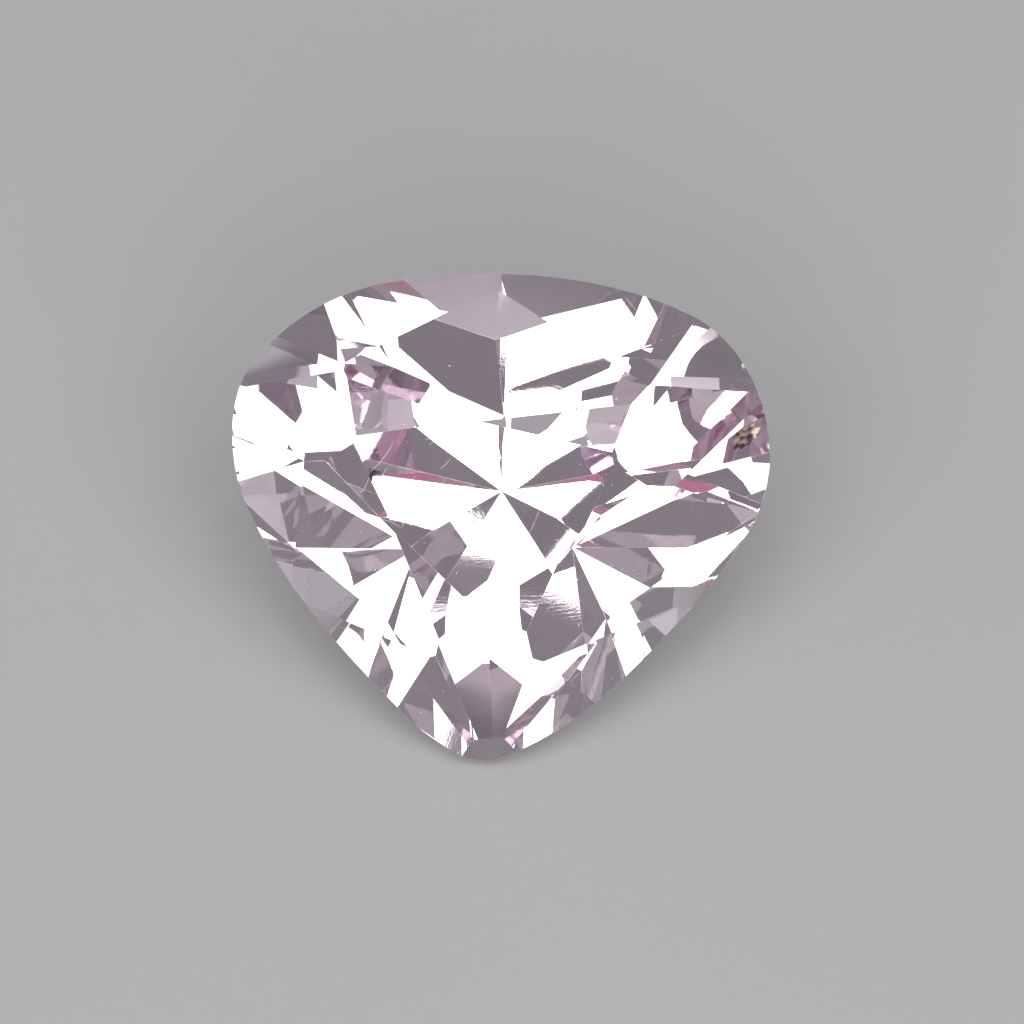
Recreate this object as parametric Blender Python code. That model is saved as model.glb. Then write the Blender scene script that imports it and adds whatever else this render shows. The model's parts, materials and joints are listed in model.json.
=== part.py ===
"""A faceted kunzite: a wide, rounded pear cut from one clear, very pale pink crystal.

The stone is one solid. It starts as a prism with the girdle's outline, and every flat facet is
then ground off it, as a cutter does. It is cut with its table level and facing up, and at the
end it is laid down on the pavilion main under its tip, which is how it comes to rest.

Cutting frame: millimetres, +X to the right and +Y to the blunt end as seen from above the
table, z = 0 on the table. Final frame: metres, +Z up, origin under the middle of the stone.
"""

import math

import bmesh
import bpy
from mathutils import Matrix, Vector
from mathutils.geometry import interpolate_bezier, normal

MM = 0.001

# The girdle's outline passes through these points, each with a smooth tangent
OUTLINE = (
    (-1.30, 3.32),
    (-3.68, 2.04),
    (-3.74, -0.08),
    (-1.36, -3.20),
    (-0.02, -3.80),
    (2.52, -1.92),
    (4.00, 0.50),
    (2.92, 2.72),
)
STEPS_BETWEEN_POINTS = 10

CROWN_HEIGHT = 1.41
GIRDLE_THICKNESS = 0.30
PAVILION_DEPTH = 3.30
CULET = (0.0, 0.14)

# A facet is (turn, slope, reach): the compass turn of its normal in degrees, 0 on +X and 90 on
# +Y, its slope from the girdle plane in degrees, and its distance from the centre in
# millimetres, measured at the table for stars and mains and at the girdle's edge for the rest
STARS = (
    (98, 21.0, 1.24),
    (206, 24.0, 1.55),
    (226, 22.0, 1.37),
    (301, 15.5, 1.19),
    (335, 25.0, 1.28),
    (77, 17.0, 1.07),
)
CROWN_MAINS = (
    (87, 31.5, 1.15),
    (158, 36.5, 2.30),
    (214, 38.5, 1.51),
    (267, 30.0, 1.57),
    (323, 36.0, 1.21),
    (8, 31.0, 1.72),
)
CROWN_HALVES = (
    (99, 45.0, 3.31),
    (135, 47.0, 3.92),
    (177, 44.0, 3.91),
    (207, 43.0, 3.34),
    (222, 45.5, 3.19),
    (235, 44.5, 3.39),
    (302, 42.0, 3.32),
    (318, 40.5, 3.09),
    (325, 37.5, 3.15),
    (355, 36.5, 3.75),
    (40, 39.0, 4.01),
    (78, 40.5, 3.29),
)
TIP_FACET = (271, 50.0, 3.74)

# Every pavilion main runs from the culet to the girdle, so its turn settles it. Two halves fill
# the corner between neighbours, and reach this share of the way from the girdle to the culet
PAVILION_MAINS = (26, 70, 112, 155, 198, 270, 342)
HALVES_REACH = 0.5
REST_MAIN = 270

# The rough is this many times as deep as the stone, and cutting works to these tolerances in
# millimetres: how near a plane a point counts as on it, and how near two points become one
ROUGH_SPARE = 1.1
ON_PLANE = 0.00001
WELD = 0.002


def clear_scene():
    for obj in list(bpy.data.objects):
        bpy.data.objects.remove(obj)


def girdle_outline():
    """Points of a smooth closed curve through OUTLINE, each tangent set by the point's neighbours."""
    points = [Vector(point) for point in OUTLINE]
    count = len(points)
    tangents = [(points[(i + 1) % count] - points[i - 1]).normalized() for i in range(count)]
    curve = []
    for i in range(count):
        j = (i + 1) % count
        handle = (points[j] - points[i]).length / 3
        curve += interpolate_bezier(
            points[i],
            points[i] + tangents[i] * handle,
            points[j] - tangents[j] * handle,
            points[j],
            STEPS_BETWEEN_POINTS + 1,
        )[:-1]
    return curve


def preform():
    """The rough prism: the outline from the table's level down to below the culet."""
    bottom = -(CROWN_HEIGHT + GIRDLE_THICKNESS + PAVILION_DEPTH) * ROUGH_SPARE
    stone = bmesh.new()
    rim = [stone.verts.new((point.x, point.y, bottom)) for point in girdle_outline()]
    base = stone.faces.new(rim)
    walls = bmesh.ops.extrude_face_region(stone, geom=[base])
    top = [item for item in walls["geom"] if isinstance(item, bmesh.types.BMVert)]
    bmesh.ops.translate(stone, verts=top, vec=(0, 0, -bottom))
    bmesh.ops.recalc_face_normals(stone, faces=stone.faces)
    return stone


def grind(stone, point, outward):
    """Takes away what lies beyond the plane through point, and closes the stone with a flat facet."""
    everything = stone.verts[:] + stone.edges[:] + stone.faces[:]
    cut = bmesh.ops.bisect_plane(
        stone,
        geom=everything,
        dist=ON_PLANE,
        plane_co=point,
        plane_no=outward,
        clear_outer=True,
    )
    edges = [item for item in cut["geom_cut"] if isinstance(item, bmesh.types.BMEdge)]
    bmesh.ops.contextual_create(stone, geom=edges)


def compass(turn):
    """Level unit vector that points towards a turn."""
    turn = math.radians(turn)
    return Vector((math.cos(turn), math.sin(turn), 0))


def grind_crown(stone, facets, level):
    for turn, slope, reach in facets:
        slope = math.radians(slope)
        outward = compass(turn)
        grind(
            stone,
            point=outward * reach + Vector((0, 0, level)),
            outward=outward * math.sin(slope) + Vector((0, 0, math.cos(slope))),
        )


def pavilion_main(turn, touch, culet):
    """Outward normal of the main that holds the culet and the rim's furthest point that way."""
    outward = compass(turn)
    reach = outward.dot(touch - culet)
    return (outward * PAVILION_DEPTH - Vector((0, 0, reach))).normalized()


def grind_pavilion(stone, rim, culet):
    """Mains that meet at the culet, then a pair of halves on each ridge between two mains.

    Both halves hold the ridge's corner on the rim and one point of the ridge, and each ends
    where its own main touches the rim. Returns the outward normals of the mains.
    """
    touches = [max(rim, key=compass(turn).dot) for turn in PAVILION_MAINS]
    mains = [pavilion_main(turn, touch, culet) for turn, touch in zip(PAVILION_MAINS, touches)]
    for main_normal in mains:
        grind(stone, culet, main_normal)
    for i in range(len(mains)):
        ridge = mains[i - 1].cross(mains[i])
        way = ridge.to_2d().normalized()
        corner = max(rim, key=lambda point: way.dot((point - culet).to_2d().normalized()))
        span = (corner - culet).to_2d().length
        meet = culet + ridge * (1 - HALVES_REACH) * span / ridge.to_2d().length
        grind(stone, meet, normal(meet, corner, touches[i - 1]))
        grind(stone, meet, normal(meet, touches[i], corner))
    return mains


def cut_stone():
    """The finished stone with its table up, and the outward normal of the main it rests on."""
    stone = preform()
    girdle_top = -CROWN_HEIGHT
    girdle_bottom = girdle_top - GIRDLE_THICKNESS
    grind_crown(stone, CROWN_MAINS + STARS, 0)
    grind_crown(stone, CROWN_HALVES + (TIP_FACET,), girdle_top)
    rim = [Vector((*point, girdle_bottom)) for point in girdle_outline()]
    mains = grind_pavilion(stone, rim, Vector((*CULET, girdle_bottom - PAVILION_DEPTH)))
    bmesh.ops.remove_doubles(stone, verts=stone.verts, dist=WELD)
    bmesh.ops.recalc_face_normals(stone, faces=stone.faces)
    return stone, mains[PAVILION_MAINS.index(REST_MAIN)]


def lay_down(stone, rest):
    """Turns the rest facet to the ground and the table to -Y, then puts the origin under the stone."""
    tilt = rest.rotation_difference(Vector((0, 0, -1))).to_matrix()
    table = tilt @ Vector((0, 0, 1))
    swing = Matrix.Rotation(-math.pi / 2 - math.atan2(table.y, table.x), 3, "Z")
    bmesh.ops.transform(stone, verts=stone.verts, matrix=(swing @ tilt).to_4x4())
    low = Vector([min(vert.co[axis] for vert in stone.verts) for axis in range(3)])
    high = Vector([max(vert.co[axis] for vert in stone.verts) for axis in range(3)])
    middle = Vector(((low.x + high.x) / 2, (low.y + high.y) / 2, low.z))
    bmesh.ops.translate(stone, verts=stone.verts, vec=-middle)
    bmesh.ops.scale(stone, verts=stone.verts, vec=(MM, MM, MM))


def kunzite():
    """Clear, very pale pink crystal with a polished surface."""
    material = bpy.data.materials.new("kunzite")
    material.use_nodes = True
    shader = material.node_tree.nodes["Principled BSDF"]
    shader.inputs["Base Color"].default_value = (0.96, 0.86, 0.92, 1)
    shader.inputs["Metallic"].default_value = 0.0
    shader.inputs["Roughness"].default_value = 0.02
    shader.inputs["IOR"].default_value = 1.666
    shader.inputs["Transmission Weight"].default_value = 1.0
    return material


def main():
    clear_scene()
    stone, rest = cut_stone()
    lay_down(stone, rest)
    mesh = bpy.data.meshes.new("kunzite_gem")
    stone.to_mesh(mesh)
    stone.free()
    mesh.materials.append(kunzite())
    gem = bpy.data.objects.new("kunzite_gem", mesh)
    bpy.context.scene.collection.objects.link(gem)


main()
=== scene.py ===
"""The looks of the cut kunzite.

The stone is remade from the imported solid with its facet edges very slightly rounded, as polishing
leaves them, and with a nick in the girdle. With it go the things that show from close by: a
feather under the right side, fine polishing scratches and specks of dust. All sizes are in metres
unless a name says millimetres. Places on the stone are given in pixels of the photograph, which
looks straight at the table.
"""

import json
import math
import random

import bmesh
import bpy
from mathutils import Matrix, Vector
from mathutils.bvhtree import BVHTree


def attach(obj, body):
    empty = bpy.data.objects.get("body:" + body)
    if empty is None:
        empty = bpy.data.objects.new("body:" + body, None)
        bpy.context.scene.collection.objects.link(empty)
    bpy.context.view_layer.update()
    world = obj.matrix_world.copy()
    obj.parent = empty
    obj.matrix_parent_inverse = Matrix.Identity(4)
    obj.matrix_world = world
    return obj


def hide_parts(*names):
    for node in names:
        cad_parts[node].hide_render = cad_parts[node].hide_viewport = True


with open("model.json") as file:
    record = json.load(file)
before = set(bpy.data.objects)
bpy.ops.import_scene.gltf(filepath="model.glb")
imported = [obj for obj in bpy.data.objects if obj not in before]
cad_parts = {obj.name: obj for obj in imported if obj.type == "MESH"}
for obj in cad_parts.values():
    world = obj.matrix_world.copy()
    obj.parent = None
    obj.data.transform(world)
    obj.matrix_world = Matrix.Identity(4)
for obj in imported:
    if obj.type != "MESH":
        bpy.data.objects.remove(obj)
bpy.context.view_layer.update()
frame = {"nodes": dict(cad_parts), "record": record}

MM = 0.001

# The photograph: its size, its scale, and the middle of the stone in it
PHOTO_SIZE = 1024
PIXEL = 8.0 * MM / 540
STONE_MIDDLE = (501, 517)
GIRDLE_DEPTH = 1.41 * MM

mounts = {mount["name"]: mount for mount in frame["record"]["mounts"]}
gem = frame["nodes"]["kunzite_gem"]

# Directions of the picture: towards the camera, to the right and up
TOWARDS = Vector(mounts["table"]["axis"]).normalized()
RIGHT = Vector((1, 0, 0))
UP = TOWARDS.cross(RIGHT)
TABLE_HEIGHT = TOWARDS.dot(Vector(mounts["table"]["pos_m"]))


def middle_along(direction):
    reaches = [direction.dot(vert.co) for vert in gem.data.vertices]
    return (min(reaches) + max(reaches)) / 2


MIDDLE = RIGHT * middle_along(RIGHT) + UP * middle_along(UP) + TOWARDS * TABLE_HEIGHT


def at_pixel(x, y, depth=0.0):
    """The point that lies behind a pixel of the photograph, at a depth below the table's plane."""
    across = (x - STONE_MIDDLE[0]) * PIXEL
    along = (STONE_MIDDLE[1] - y) * PIXEL
    return MIDDLE + RIGHT * across + UP * along - TOWARDS * depth


# Materials


def new_material(name):
    material = bpy.data.materials.new(name)
    material.use_nodes = True
    nodes = material.node_tree.nodes
    return material, nodes, material.node_tree.links, nodes["Principled BSDF"]


def add(nodes, kind, **settings):
    """A node with its sockets set, each named with _ for a space."""
    node = nodes.new(kind)
    for name, value in settings.items():
        node.inputs[name.replace("_", " ")].default_value = value
    return node


def noise_between(nodes, links, scale, low, high, detail=3.0, stretch=(1, 1, 1)):
    """Noise in the object's own space, brought between two values."""
    place = add(nodes, "ShaderNodeTexCoord")
    squeeze = add(nodes, "ShaderNodeMapping", Scale=stretch)
    noise = add(nodes, "ShaderNodeTexNoise", Scale=scale, Detail=detail)
    span = add(nodes, "ShaderNodeMapRange", To_Min=low, To_Max=high)
    links.new(place.outputs["Object"], squeeze.inputs["Vector"])
    links.new(squeeze.outputs["Vector"], noise.inputs["Vector"])
    links.new(noise.outputs["Fac"], span.inputs["Value"])
    return span.outputs["Result"]


def bump(nodes, links, shader, height, strength, distance):
    relief = add(nodes, "ShaderNodeBump", Strength=strength, Distance=distance)
    links.new(height, relief.inputs["Height"])
    links.new(relief.outputs["Normal"], shader.inputs["Normal"])


def grey(nodes, links, shader, shade):
    mixed = add(nodes, "ShaderNodeCombineColor")
    for channel in ("Red", "Green", "Blue"):
        links.new(shade, mixed.inputs[channel])
    links.new(mixed.outputs["Color"], shader.inputs["Base Color"])


def crystal(name):
    """Kunzite: water-clear, with a faint pink that deepens with the light's way through it."""
    material, nodes, links, shader = new_material(name)
    shader.inputs["Base Color"].default_value = (0.99, 0.965, 0.985, 1)
    shader.inputs["IOR"].default_value = 1.666
    shader.inputs["Transmission Weight"].default_value = 1.0
    body = add(nodes, "ShaderNodeVolumeAbsorption")
    body.inputs["Color"].default_value = (0.975, 0.875, 0.945, 1)
    body.inputs["Density"].default_value = 110.0
    links.new(body.outputs["Volume"], nodes["Material Output"].inputs["Volume"])
    return material, nodes, links, shader


def polished_crystal():
    """Facets: a clean polish with faint haze in patches and hair-fine polishing lines."""
    material, nodes, links, shader = crystal("kunzite polished")
    haze = noise_between(nodes, links, 900, 0.0, 0.022, detail=4)
    links.new(haze, shader.inputs["Roughness"])
    lines = noise_between(nodes, links, 700, 0, 1, detail=6, stretch=(1, 26, 26))
    bump(nodes, links, shader, lines, strength=0.02, distance=0.000002)
    return material


def ground_crystal():
    """The girdle: ground and left frosted."""
    material, nodes, links, shader = crystal("kunzite ground")
    frost = noise_between(nodes, links, 5200, 0.30, 0.55, detail=6)
    links.new(frost, shader.inputs["Roughness"])
    grit = noise_between(nodes, links, 16000, 0, 1, detail=4)
    bump(nodes, links, shader, grit, strength=0.5, distance=0.000006)
    return material


def healed_crack():
    """The feather: a brown-violet film with pale threads."""
    material, nodes, links, shader = new_material("healed crack")
    threads = noise_between(nodes, links, 6500, 0, 1, detail=8, stretch=(1, 3, 1))
    tint = add(nodes, "ShaderNodeValToRGB")
    dark, pale = tint.color_ramp.elements
    dark.color = (0.09, 0.05, 0.08, 1)
    dark.position = 0.42
    pale.color = (0.95, 0.72, 0.52, 1)
    pale.position = 0.62
    links.new(threads, tint.inputs["Fac"])
    links.new(tint.outputs["Color"], shader.inputs["Base Color"])
    shader.inputs["Roughness"].default_value = 0.22
    bump(nodes, links, shader, threads, strength=0.8, distance=0.00001)
    return material


def pale_dust():
    material, nodes, links, shader = new_material("dust")
    grey(nodes, links, shader, noise_between(nodes, links, 9000, 0.72, 1.0))
    shader.inputs["Roughness"].default_value = 0.7
    return material


def scratch_white():
    """The crushed crystal in a scratch, which shows as a bright line."""
    material, nodes, links, shader = new_material("scratch")
    shader.inputs["Base Color"].default_value = (0.93, 0.90, 0.94, 1)
    rough = noise_between(nodes, links, 12000, 0.25, 0.6)
    links.new(rough, shader.inputs["Roughness"])
    return material


def floor_paper():
    material, nodes, links, shader = new_material("floor")
    grey(nodes, links, shader, noise_between(nodes, links, 60, 0.44, 0.47, detail=2))
    shader.inputs["Roughness"].default_value = 0.85
    shader.inputs["Specular IOR Level"].default_value = 0.2
    return material


# The stone

EDGE_ROUND_MM = 0.007
WELD_MM = 0.001
COPLANAR = math.radians(0.2)
GIRDLE_LEAN = 0.03
NICK_PIXEL = (749, 366)
NICK_RADIUS_MM = 0.11


def show(name, work, *materials):
    """Turns a bmesh into a piece that rides on the stone's body."""
    mesh = bpy.data.meshes.new(name)
    work.to_mesh(mesh)
    work.free()
    for material in materials:
        mesh.materials.append(material)
    piece = bpy.data.objects.new(name, mesh)
    bpy.context.scene.collection.objects.link(piece)
    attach(piece, "root")
    return piece


def scale_all(work, factor):
    bmesh.ops.scale(work, verts=work.verts, vec=(factor,) * 3)


def cut_nick(stone_mesh):
    """Takes a small shell-shaped bite out of the girdle's edge. Works in millimetres."""
    bite = bmesh.new()
    bmesh.ops.create_icosphere(bite, subdivisions=3, radius=NICK_RADIUS_MM)
    bmesh.ops.translate(bite, verts=bite.verts, vec=at_pixel(*NICK_PIXEL, GIRDLE_DEPTH) / MM)
    tool_mesh = bpy.data.meshes.new("nick tool")
    bite.to_mesh(tool_mesh)
    bite.free()
    tool = bpy.data.objects.new("nick_tool", tool_mesh)
    holder = bpy.data.objects.new("nick_holder", stone_mesh)
    for thing in (tool, holder):
        bpy.context.scene.collection.objects.link(thing)
    cut = holder.modifiers.new("nick", "BOOLEAN")
    cut.object = tool
    cut.operation = "DIFFERENCE"
    result = bmesh.new()
    result.from_object(holder, bpy.context.evaluated_depsgraph_get())
    for thing in (tool, holder):
        bpy.data.objects.remove(thing)
    bpy.data.meshes.remove(tool_mesh)
    return result


def stone():
    """Makes the stone and returns its surface, for finding points on it."""
    work = bmesh.new()
    work.from_mesh(gem.data)
    scale_all(work, 1 / MM)
    bmesh.ops.remove_doubles(work, verts=work.verts, dist=WELD_MM)
    bmesh.ops.dissolve_limit(work, angle_limit=COPLANAR, verts=work.verts, edges=work.edges)
    bmesh.ops.bevel(
        work,
        geom=work.edges[:],
        offset=EDGE_ROUND_MM,
        offset_type="OFFSET",
        segments=2,
        profile=0.5,
        affect="EDGES",
        clamp_overlap=True,
    )
    whole = bpy.data.meshes.new("stone work")
    work.to_mesh(whole)
    work.free()
    nicked = cut_nick(whole)
    bpy.data.meshes.remove(whole)
    scale_all(nicked, MM)
    nicked.normal_update()
    for face in nicked.faces:
        face.material_index = 1 if abs(face.normal.dot(TOWARDS)) < GIRDLE_LEAN else 0
    found = BVHTree.FromBMesh(nicked)
    piece = show("kunzite_stone", nicked, polished_crystal(), ground_crystal())
    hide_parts("kunzite_gem")
    return found


surface = stone()


def on_crown(x, y):
    """The point and the outward normal of the crown behind a pixel, or None beside the stone."""
    above = at_pixel(x, y, -2 * MM)
    point, normal, _, _ = surface.ray_cast(above, -TOWARDS)
    return (point, normal) if point else None


# Polishing scratches: each is its two ends and how far it bows, all in pixels

SCRATCHES = (
    (362, 462, 381, 441, 1.0),
    (368, 476, 396, 442, 2.0),
    (377, 486, 389, 468, 0.5),
    (371, 445, 379, 434, 0.0),
    (399, 497, 417, 476, 1.0),
    (404, 515, 431, 482, -1.5),
    (411, 523, 424, 507, 0.5),
    (421, 508, 447, 479, 1.5),
    (426, 441, 438, 436, 0.5),
    (430, 446, 446, 438, -0.5),
    (436, 522, 452, 503, 1.0),
    (391, 486, 399, 505, 1.0),
    (384, 520, 404, 528, -3.0),
    (404, 528, 415, 512, -2.0),
    (363, 493, 371, 478, 1.0),
    (441, 470, 452, 459, 0.5),
    (498, 463, 515, 452, 0.5),
    (486, 586, 503, 566, 1.0),
    (625, 297, 637, 312, 0.5),
    (332, 405, 349, 388, 1.0),
    (318, 424, 330, 410, 0.5),
)
SCRATCH_RADIUS = 0.0032 * MM
SCRATCH_LIFT = 0.2
SCRATCH_STEPS = 7
THREAD_SIDES = 3
THREAD_HEIGHT = 0.7

# A thread narrows towards its ends, which lie a little inside the ends of a sine's half wave
TAPER_START = 0.6
TAPER_SPARE = 0.2


def thread(work, points, radius):
    """A fine three-sided thread through points, closed at both ends."""
    rings = []
    for i, point in enumerate(points):
        ahead = points[min(i + 1, len(points) - 1)] - points[max(i - 1, 0)]
        side = ahead.cross(TOWARDS).normalized()
        thin = radius * math.sin(math.pi * (i + TAPER_START) / (len(points) + TAPER_SPARE))
        corners = (side * thin, -side * thin, TOWARDS * thin * THREAD_HEIGHT)
        rings.append([work.verts.new(point + corner) for corner in corners])
    for before, after in zip(rings, rings[1:]):
        for a in range(THREAD_SIDES):
            b = (a + 1) % THREAD_SIDES
            work.faces.new((before[a], before[b], after[b], after[a]))
    work.faces.new(rings[0][::-1])
    work.faces.new(rings[-1])


def scratches():
    work = bmesh.new()
    for x0, y0, x1, y1, bow in SCRATCHES:
        points = []
        for step in range(SCRATCH_STEPS):
            share = step / (SCRATCH_STEPS - 1)
            swell = bow * 4 * share * (1 - share)
            found = on_crown(x0 + (x1 - x0) * share + swell, y0 + (y1 - y0) * share + swell)
            if found:
                point, normal = found
                points.append(point + normal * SCRATCH_RADIUS * SCRATCH_LIFT)
        if len(points) > 2:
            thread(work, points, SCRATCH_RADIUS)
    bmesh.ops.recalc_face_normals(work, faces=work.faces)
    show("polishing_scratches", work, scratch_white())


# Dust: a speck is a crumpled ball of twelve corners, pressed flat and sunk into the facet

SPECKS = 90
SPECK_CORNERS = 12
SPECK_SMALL = 0.005 * MM
SPECK_LARGE = 0.014 * MM
SPECK_FLATTENED = 0.45
SPECK_LIFT = 0.3
FACES_CAMERA = 0.5


def dust():
    """Crumbs of dust on the crown, thicker on the left and low in the picture."""
    pick = random.Random(7)
    work = bmesh.new()
    while len(work.verts) < SPECKS * SPECK_CORNERS:
        x = pick.triangular(240, 765, 400)
        y = pick.triangular(285, 750, 560)
        found = on_crown(x, y)
        if not found or found[1].dot(TOWARDS) < FACES_CAMERA:
            continue
        point, normal = found
        size = SPECK_SMALL + (SPECK_LARGE - SPECK_SMALL) * pick.random() ** 3
        made = bmesh.ops.create_icosphere(work, subdivisions=1, radius=size)
        for vert in made["verts"]:
            vert.co *= 0.7 + 0.6 * pick.random()
            vert.co -= normal * vert.co.dot(normal) * SPECK_FLATTENED
            vert.co += point + normal * size * SPECK_LIFT
    show("dust_specks", work, pale_dust())


# The feather: a blade that leans, with a ragged rim and rumpled by a few waves

FEATHER_PIXEL = (742, 437)
FEATHER_DEPTH = 1.40 * MM
FEATHER_LEAN = (0.80, 0.42, 0.42)
FEATHER_HALF_LENGTH = 0.30 * MM
FEATHER_HALF_WIDTH = 0.13 * MM
FEATHER_THICKNESS = 0.008 * MM
RUMPLE = 0.006 * MM
WAVES = 4


def feather():
    """A rumpled, nearly flat blade inside the stone, rising towards the girdle."""
    pick = random.Random(3)
    work = bmesh.new()
    bmesh.ops.create_uvsphere(work, u_segments=28, v_segments=14, radius=1)
    rightward, upward, forward = FEATHER_LEAN
    lean = (RIGHT * rightward + UP * upward + TOWARDS * forward).normalized()
    across = lean.cross(TOWARDS).normalized()
    through = lean.cross(across)
    waves = [(pick.uniform(2, 6), pick.uniform(0, 6.28)) for _ in range(WAVES)]
    centre = at_pixel(*FEATHER_PIXEL, FEATHER_DEPTH)
    for vert in work.verts:
        x, y, z = vert.co
        rumple = sum(math.sin(rate * x + 1.7 * rate * y + start) for rate, start in waves)
        turn = math.atan2(y, x)
        ragged = 1 + 0.16 * math.sin(9 * turn + 1) + 0.08 * math.sin(17 * turn)
        vert.co = (
            centre
            + lean * x * FEATHER_HALF_LENGTH * ragged
            + across * y * FEATHER_HALF_WIDTH * ragged
            + through * (z * FEATHER_THICKNESS + rumple * RUMPLE)
        )
    show("feather_inclusion", work, healed_crack())


scratches()
dust()
feather()


# Floor, light and camera

FLOOR_DROP = 0.00002
FLOOR_HALF = 0.6


def floor():
    mesh = bpy.data.meshes.new("floor")
    work = bmesh.new()
    bmesh.ops.create_grid(work, x_segments=1, y_segments=1, size=FLOOR_HALF)
    work.to_mesh(mesh)
    work.free()
    plane = bpy.data.objects.new("floor", mesh)
    plane.location.z = -FLOOR_DROP
    mesh.materials.append(floor_paper())
    bpy.context.scene.collection.objects.link(plane)


def matrix_of(x_axis, y_axis, z_axis, place):
    turn = Matrix((x_axis, y_axis, z_axis)).transposed().to_4x4()
    turn.translation = place
    return turn


# The soft light is a ring of panels round the camera's line of sight, which itself stays dark
PANELS = 12
PANEL_DISTANCE = 0.40
PANEL_INNER = math.radians(12)
PANEL_OUTER = math.radians(44)
PANEL_LEAN = (PANEL_INNER + PANEL_OUTER) / 2
PANEL_WIDTH_SHARE = 0.86
PANEL_RADIANCE = 2.6


def panel(turn):
    outward = RIGHT * math.cos(turn) + UP * math.sin(turn)
    way = TOWARDS * math.cos(PANEL_LEAN) + outward * math.sin(PANEL_LEAN)
    light = bpy.data.lights.new("panel", "AREA")
    light.shape = "RECTANGLE"
    light.size = 2 * math.pi * math.sin(PANEL_LEAN) / PANELS * PANEL_DISTANCE * PANEL_WIDTH_SHARE
    light.size_y = (PANEL_OUTER - PANEL_INNER) * PANEL_DISTANCE
    light.energy = PANEL_RADIANCE * math.pi * light.size * light.size_y
    lamp = bpy.data.objects.new("panel", light)
    radial = (outward - way * outward.dot(way)).normalized()
    side = radial.cross(way)
    lamp.matrix_world = matrix_of(side, radial, way, MIDDLE + way * PANEL_DISTANCE)
    bpy.context.scene.collection.objects.link(lamp)


WORLD_GREY = (0.40, 0.385, 0.41, 1)
WORLD_STRENGTH = 0.55


def room():
    world = bpy.data.worlds.new("soft room")
    bpy.context.scene.world = world
    world.use_nodes = True
    background = world.node_tree.nodes["Background"]
    background.inputs["Color"].default_value = WORLD_GREY
    background.inputs["Strength"].default_value = WORLD_STRENGTH


LENS = 200


def camera():
    """Looks straight at the table, and frames the stone as the photograph does."""
    view = bpy.data.cameras.new("camera")
    view.lens = LENS
    view.clip_start = 0.001
    view.clip_end = 5
    eye = bpy.data.objects.new("camera", view)
    distance = PHOTO_SIZE * PIXEL * LENS / view.sensor_width
    place = at_pixel(PHOTO_SIZE / 2, PHOTO_SIZE / 2, GIRDLE_DEPTH) + TOWARDS * distance
    eye.matrix_world = matrix_of(RIGHT, UP, TOWARDS, place)
    bpy.context.scene.collection.objects.link(eye)
    bpy.context.scene.camera = eye


def light_paths():
    """Light bounces many times inside a cut stone before it leaves."""
    cycles = bpy.context.scene.cycles
    cycles.max_bounces = 32
    cycles.glossy_bounces = 24
    cycles.transmission_bounces = 32
    cycles.diffuse_bounces = 4
    cycles.sample_clamp_indirect = 8
    cycles.use_denoising = True
    bpy.context.scene.view_settings.view_transform = "Standard"


floor()
for index in range(PANELS):
    panel(2 * math.pi * (index + 0.5) / PANELS)
room()
camera()
light_paths()
